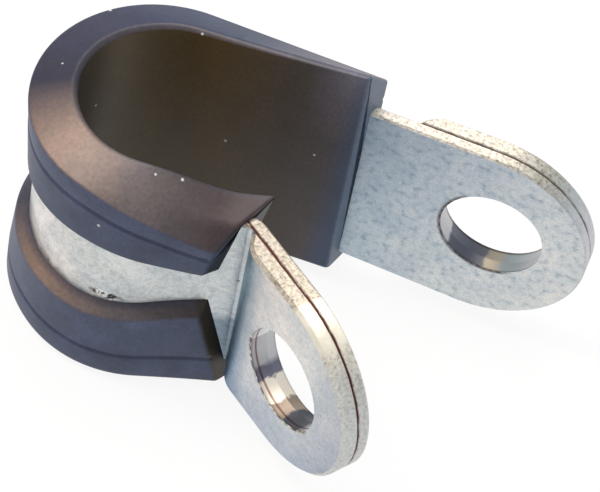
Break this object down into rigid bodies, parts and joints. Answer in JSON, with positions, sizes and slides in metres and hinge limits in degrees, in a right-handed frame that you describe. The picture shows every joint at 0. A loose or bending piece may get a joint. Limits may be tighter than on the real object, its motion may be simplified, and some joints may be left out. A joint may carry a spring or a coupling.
{
  "type": "pipe clamp",
  "caption": "Rubber-lined pipe clip with a bent steel band, reinforced lugs and a channel lining, opened out to take the pipe.",
  "frame": {"origin": "centre of the pipe seat, halfway across the band", "axes": "+Z along the pipe, +X out of the mouth towards the lugs, the far lug on the +Y side and the near lug on the -Y side"},
  "size_m": [0.0333, 0.0207, 0.0191],
  "materials": {
    "zinc_steel": "zinc plated, dull mottled grey",
    "rubber": "matt moulded rubber"
  },
  "bodies": {
    "root": {"steel_band": "zinc_steel", "far_lug_plate": "zinc_steel", "near_lug_plate": "zinc_steel", "rubber_lining": "rubber"}
  },
  "joints": []
}
